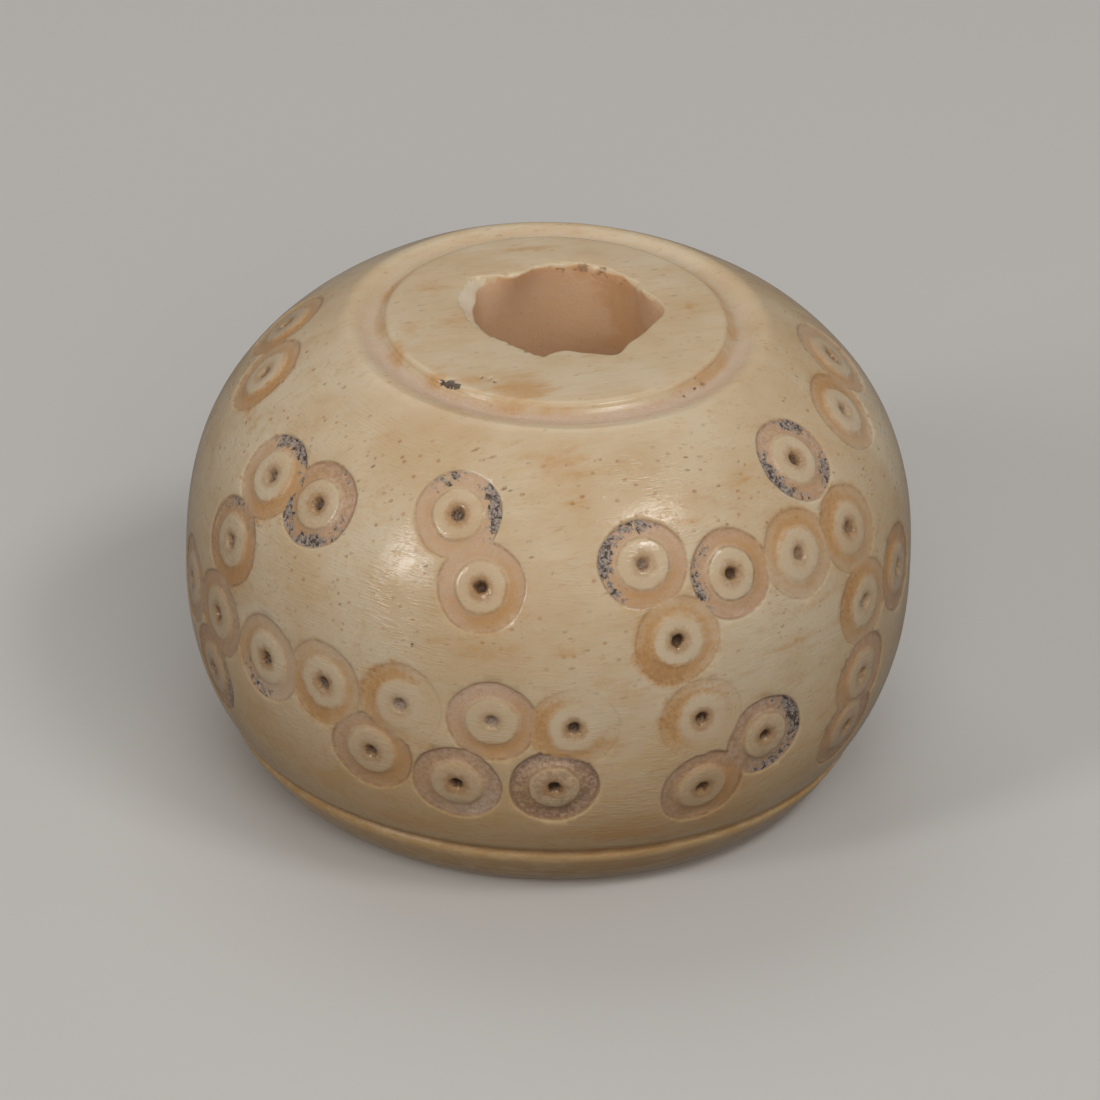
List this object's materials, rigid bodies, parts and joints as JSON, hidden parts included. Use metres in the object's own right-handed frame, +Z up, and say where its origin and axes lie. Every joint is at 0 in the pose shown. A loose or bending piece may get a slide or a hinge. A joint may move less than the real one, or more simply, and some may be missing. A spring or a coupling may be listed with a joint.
{
  "type": "spindle whorl",
  "caption": "Turned bone spindle whorl: a flattened globe with a flat base, a raised disc on top, a central bore for the spindle and carved ring-and-dot ornament round its side.",
  "frame": {"origin": "centre of the flat base's underside", "axes": "+Z up along the turning axis, -Y towards the side that the picture shows in front, +X to its right"},
  "size_m": [0.026, 0.026, 0.0176],
  "materials": {
    "bone": "satin"
  },
  "bodies": {
    "root": {"whorl": "bone"}
  },
  "joints": []
}
